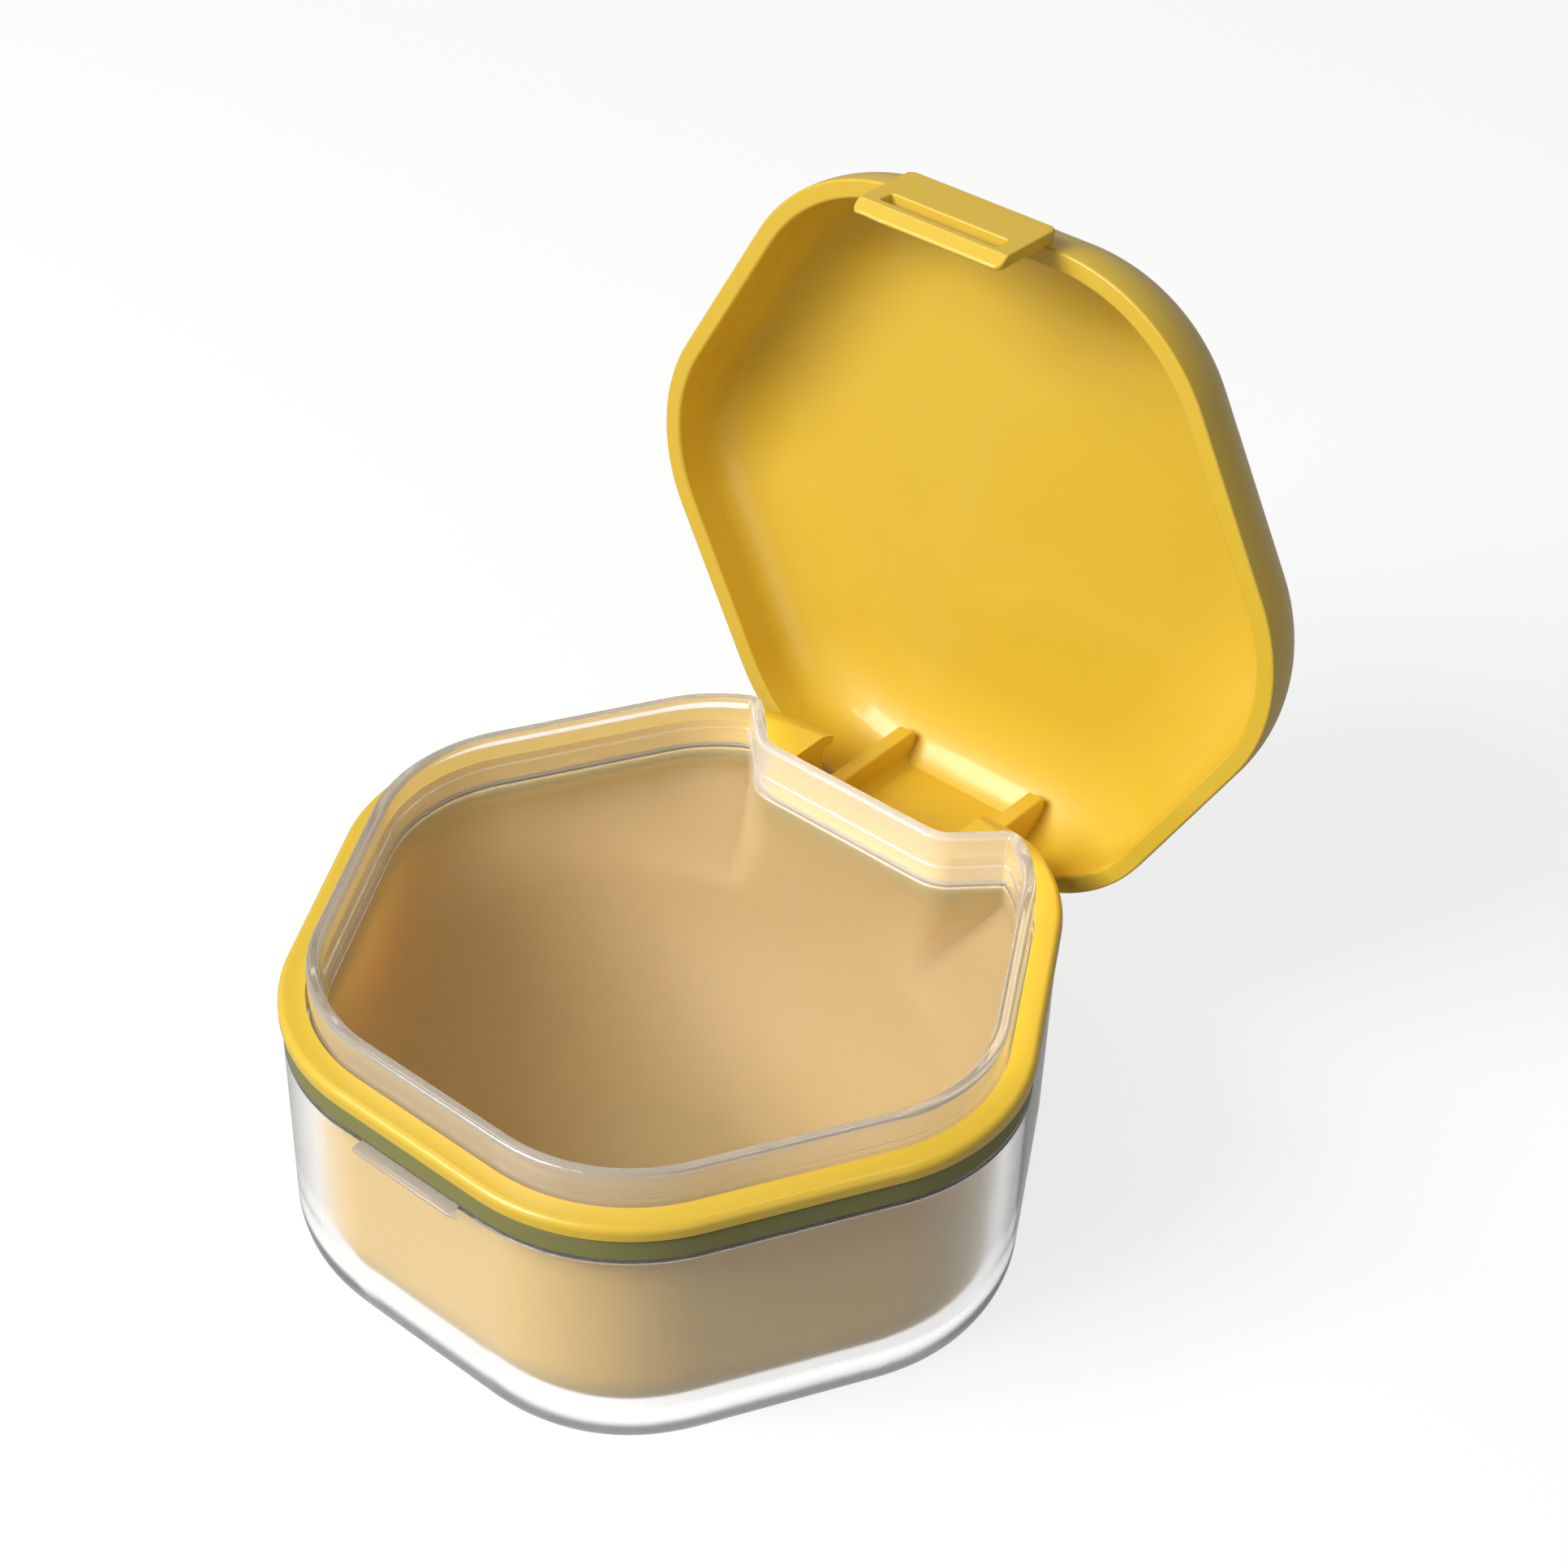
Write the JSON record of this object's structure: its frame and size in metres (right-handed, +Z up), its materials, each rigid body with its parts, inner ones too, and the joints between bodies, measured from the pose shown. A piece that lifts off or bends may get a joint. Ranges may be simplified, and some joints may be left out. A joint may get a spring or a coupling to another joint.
{
  "type": "denture case",
  "caption": "Rounded hexagonal denture case standing open: clear bowl with a tinted cup, seal band, hinged domed lid and a slotted snap latch flap.",
  "frame": {"origin": "middle of the flat bottom of the bowl, on the surface that it stands on", "axes": "+Z up from the bottom to the lid, +Y from the latch side at the front to the hinge at the back, +X to the right as seen from the front, along the hinge axis"},
  "size_m": [0.089, 0.1054, 0.1124],
  "materials": {
    "clear_plastic": "clear moulded plastic, polished",
    "tan_plastic": "frosted translucent plastic with a tan tint",
    "olive_seal": "soft olive seal rubber, smooth",
    "yellow_plastic": "moulded yellow plastic, satin gloss",
    "pin_steel": "plain steel wire"
  },
  "bodies": {
    "base": {"outer_shell": "clear_plastic", "inner_cup": "tan_plastic", "neck_collar": "clear_plastic", "seal_band": "olive_seal", "hinge_ring": "yellow_plastic", "hinge_pin": "pin_steel"},
    "lid": {"lid": "yellow_plastic"},
    "latch": {"latch_flap": "yellow_plastic"}
  },
  "joints": [
    {"name": "lid_hinge", "type": "hinge", "parent": "base", "child": "lid", "pos_m": [0, 0.0374, 0.0306], "axis": [1, 0, 0], "range_deg": [0, 91]},
    {"name": "latch_flex", "type": "hinge", "parent": "lid", "child": "latch", "pos_m": [0, 0.0477, 0.11064], "axis": [-1, 0, 0], "range_deg": [0, 25], "stiffness_Nm_per_rad": 0.002}
  ]
}
